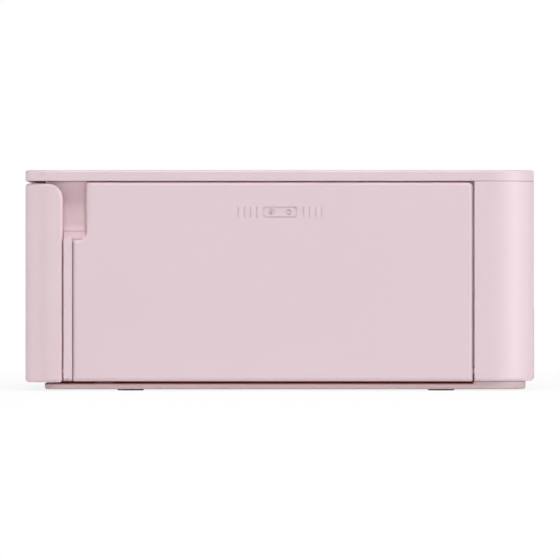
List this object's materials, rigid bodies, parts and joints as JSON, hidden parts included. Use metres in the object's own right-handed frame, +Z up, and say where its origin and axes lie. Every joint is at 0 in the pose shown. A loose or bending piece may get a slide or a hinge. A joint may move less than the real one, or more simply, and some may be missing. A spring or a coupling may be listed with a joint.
{
  "type": "compact photo printer",
  "caption": "Compact desktop photo printer with a hinged front cover, a hinged side door over an ink cassette, a rear paper flap and a rounded one-piece case.",
  "frame": {"origin": "middle of the case's outline on the plane of its feet", "axes": "+X across the width, out of the side with the cassette door; +Y to the rear, where the paper flap is; +Z up"},
  "size_m": [0.1822, 0.1331, 0.0576],
  "materials": {
    "pink_plastic": "satin moulded",
    "button_plastic": "polished",
    "smoked_window": "polished",
    "display_glass": "polished",
    "circuit_board": "solder mask",
    "grey_plastic": "fine texture",
    "dark_plastic": "fine texture",
    "white_plastic": "satin moulded",
    "black_rubber": "matt",
    "grey_rubber": "ground smooth",
    "zinc_steel": "zinc plated sheet",
    "bright_steel": "ground",
    "aluminium": "extruded",
    "black_metal": "satin paint",
    "head_ceramic": "glazed ceramic",
    "dye_film": "glossy film"
  },
  "bodies": {
    "case": {"main_housing": "pink_plastic", "bottom_cover": "pink_plastic", "front_frame": "pink_plastic", "top_cover": "pink_plastic", "rear_vent_panel": "pink_plastic", "rubber_feet": "black_rubber", "case_screws": "zinc_steel", "display_window": "smoked_window", "display_panel": "display_glass", "button_board": "circuit_board", "button_domes": "bright_steel", "chassis_base_pan": "zinc_steel", "chassis_left_plate": "zinc_steel", "chassis_right_plate": "zinc_steel", "chassis_tie_bars": "zinc_steel", "roller_bushes": "white_plastic", "pinch_springs": "bright_steel", "motor_bracket": "zinc_steel", "drive_motor": "bright_steel", "head_pivot_rod": "bright_steel", "front_paper_guide": "dark_plastic", "rear_paper_guide": "dark_plastic", "rear_baffle": "dark_plastic", "fan_frame": "dark_plastic", "main_board": "circuit_board", "socket_board": "circuit_board", "card_reader": "zinc_steel", "usb_port": "zinc_steel", "dc_jack": "dark_plastic"},
    "front_cover": {"front_cover": "pink_plastic"},
    "ink_door": {"ink_door": "pink_plastic"},
    "rear_paper_flap": {"rear_paper_flap": "pink_plastic"},
    "ink_cassette": {"ink_cassette_shell": "grey_plastic", "ribbon_film": "dye_film"},
    "supply_spool": {"supply_spool": "white_plastic", "supply_film_roll": "dye_film"},
    "take_up_spool": {"take_up_spool": "white_plastic"},
    "capstan": {"capstan_roller": "bright_steel", "capstan_gear": "white_plastic"},
    "feed_roller": {"feed_shaft": "bright_steel", "feed_tyres": "grey_rubber", "feed_gear": "white_plastic"},
    "reduction_gear": {"reduction_gear": "white_plastic"},
    "take_up_spindle": {"take_up_spindle": "white_plastic"},
    "supply_spindle": {"supply_spindle": "white_plastic"},
    "motor_pinion": {"motor_pinion": "white_plastic"},
    "platen": {"platen_shaft": "bright_steel", "platen_sleeve": "black_rubber"},
    "pinch_roller": {"pinch_roller": "bright_steel"},
    "print_head": {"print_head_arm": "zinc_steel", "thermal_head": "head_ceramic", "head_heat_sink": "aluminium"},
    "fan_impeller": {"fan_impeller": "dark_plastic"},
    "power_button": {"power_button": "button_plastic"},
    "home_button": {"home_button": "button_plastic"},
    "back_button": {"back_button": "button_plastic"},
    "navigation_pad": {"navigation_pad": "button_plastic"},
    "ok_button": {"ok_button": "button_plastic"},
    "print_button": {"print_button": "button_plastic"},
    "cassette_release_lever": {"cassette_release_lever": "grey_plastic"}
  },
  "joints": [
    {"name": "front_cover_hinge", "type": "hinge", "parent": "case", "child": "front_cover", "pos_m": [0, -0.0638, 0.0046], "axis": [1, 0, 0], "range_deg": [0, 90]},
    {"name": "ink_door_hinge", "type": "hinge", "parent": "case", "child": "ink_door", "pos_m": [0.0896, -0.00188, 0.0052], "axis": [0, 1, 0], "range_deg": [0, 90]},
    {"name": "rear_paper_flap_hinge", "type": "hinge", "parent": "case", "child": "rear_paper_flap", "pos_m": [0.0227, 0.0653, 0.0049], "axis": [-1, 0, 0], "range_deg": [0, 85]},
    {"name": "ink_cassette_slide", "type": "slide", "parent": "case", "child": "ink_cassette", "axis": [1, 0, 0], "range_m": [0, 0.0025]},
    {"name": "print_head_hinge", "type": "hinge", "parent": "case", "child": "print_head", "pos_m": [0.0227, 0.051, 0.04], "axis": [1, 0, 0], "range_deg": [0, 5], "stiffness_Nm_per_rad": 1, "springref_deg": -5.73},
    {"name": "capstan_spin", "type": "hinge", "parent": "case", "child": "capstan", "pos_m": [0.0227, -0.021, 0.0139], "axis": [1, 0, 0], "continuous": true},
    {"name": "feed_roller_spin", "type": "hinge", "parent": "case", "child": "feed_roller", "pos_m": [0.0227, -0.033, 0.02478], "axis": [1, 0, 0], "continuous": true},
    {"name": "reduction_gear_spin", "type": "hinge", "parent": "case", "child": "reduction_gear", "pos_m": [0.0227, -0.009, 0.02008], "axis": [1, 0, 0], "continuous": true},
    {"name": "take_up_spindle_spin", "type": "hinge", "parent": "case", "child": "take_up_spindle", "pos_m": [0.0227, -0.004, 0.02966], "axis": [1, 0, 0], "continuous": true},
    {"name": "take_up_spool_spin", "type": "hinge", "parent": "ink_cassette", "child": "take_up_spool", "pos_m": [0.0227, -0.004, 0.02966], "axis": [1, 0, 0], "continuous": true},
    {"name": "motor_pinion_spin", "type": "hinge", "parent": "case", "child": "motor_pinion", "pos_m": [0.0227, 0.001, 0.03358], "axis": [1, 0, 0], "continuous": true},
    {"name": "supply_spindle_spin", "type": "hinge", "parent": "case", "child": "supply_spindle", "pos_m": [0.0227, 0.036, 0.02966], "axis": [1, 0, 0], "continuous": true},
    {"name": "supply_spool_spin", "type": "hinge", "parent": "ink_cassette", "child": "supply_spool", "pos_m": [0.0227, 0.036, 0.02966], "axis": [1, 0, 0], "continuous": true},
    {"name": "platen_spin", "type": "hinge", "parent": "case", "child": "platen", "pos_m": [0.0227, 0.0165, 0.0109], "axis": [1, 0, 0], "continuous": true},
    {"name": "pinch_roller_spin", "type": "hinge", "parent": "case", "child": "pinch_roller", "pos_m": [0.0227, -0.021, 0.0202], "axis": [1, 0, 0], "continuous": true},
    {"name": "fan_spin", "type": "hinge", "parent": "case", "child": "fan_impeller", "pos_m": [-0.062, 0.0586, 0.031], "axis": [0, 1, 0], "continuous": true},
    {"name": "power_button_press", "type": "slide", "parent": "case", "child": "power_button", "axis": [0, 0, -1], "range_m": [0, 0.0005], "stiffness_N_per_m": 300, "springref_m": -0.001},
    {"name": "home_button_press", "type": "slide", "parent": "case", "child": "home_button", "axis": [0, 0, -1], "range_m": [0, 0.0005], "stiffness_N_per_m": 300, "springref_m": -0.001},
    {"name": "back_button_press", "type": "slide", "parent": "case", "child": "back_button", "axis": [0, 0, -1], "range_m": [0, 0.0005], "stiffness_N_per_m": 300, "springref_m": -0.001},
    {"name": "navigation_pad_press", "type": "slide", "parent": "case", "child": "navigation_pad", "axis": [0, 0, -1], "range_m": [0, 0.0005], "stiffness_N_per_m": 300, "springref_m": -0.001},
    {"name": "ok_button_press", "type": "slide", "parent": "case", "child": "ok_button", "axis": [0, 0, -1], "range_m": [0, 0.0005], "stiffness_N_per_m": 300, "springref_m": -0.001},
    {"name": "print_button_press", "type": "slide", "parent": "case", "child": "print_button", "axis": [0, 0, -1], "range_m": [0, 0.0005], "stiffness_N_per_m": 300, "springref_m": -0.001},
    {"name": "cassette_release_lever_slide", "type": "slide", "parent": "case", "child": "cassette_release_lever", "axis": [0, 1, 0], "range_m": [0, 0.004], "stiffness_N_per_m": 100, "springref_m": -0.002}
  ],
  "couplings": [
    {"joint": "feed_roller_spin", "follows": "capstan_spin", "ratio": -1.25},
    {"joint": "reduction_gear_spin", "follows": "capstan_spin", "ratio": -2},
    {"joint": "take_up_spindle_spin", "follows": "capstan_spin", "ratio": 1.4286},
    {"joint": "take_up_spool_spin", "follows": "capstan_spin", "ratio": 1.4286},
    {"joint": "motor_pinion_spin", "follows": "capstan_spin", "ratio": 6},
    {"joint": "pinch_roller_spin", "follows": "capstan_spin", "ratio": -1},
    {"joint": "supply_spool_spin", "follows": "supply_spindle_spin", "ratio": 1}
  ]
}
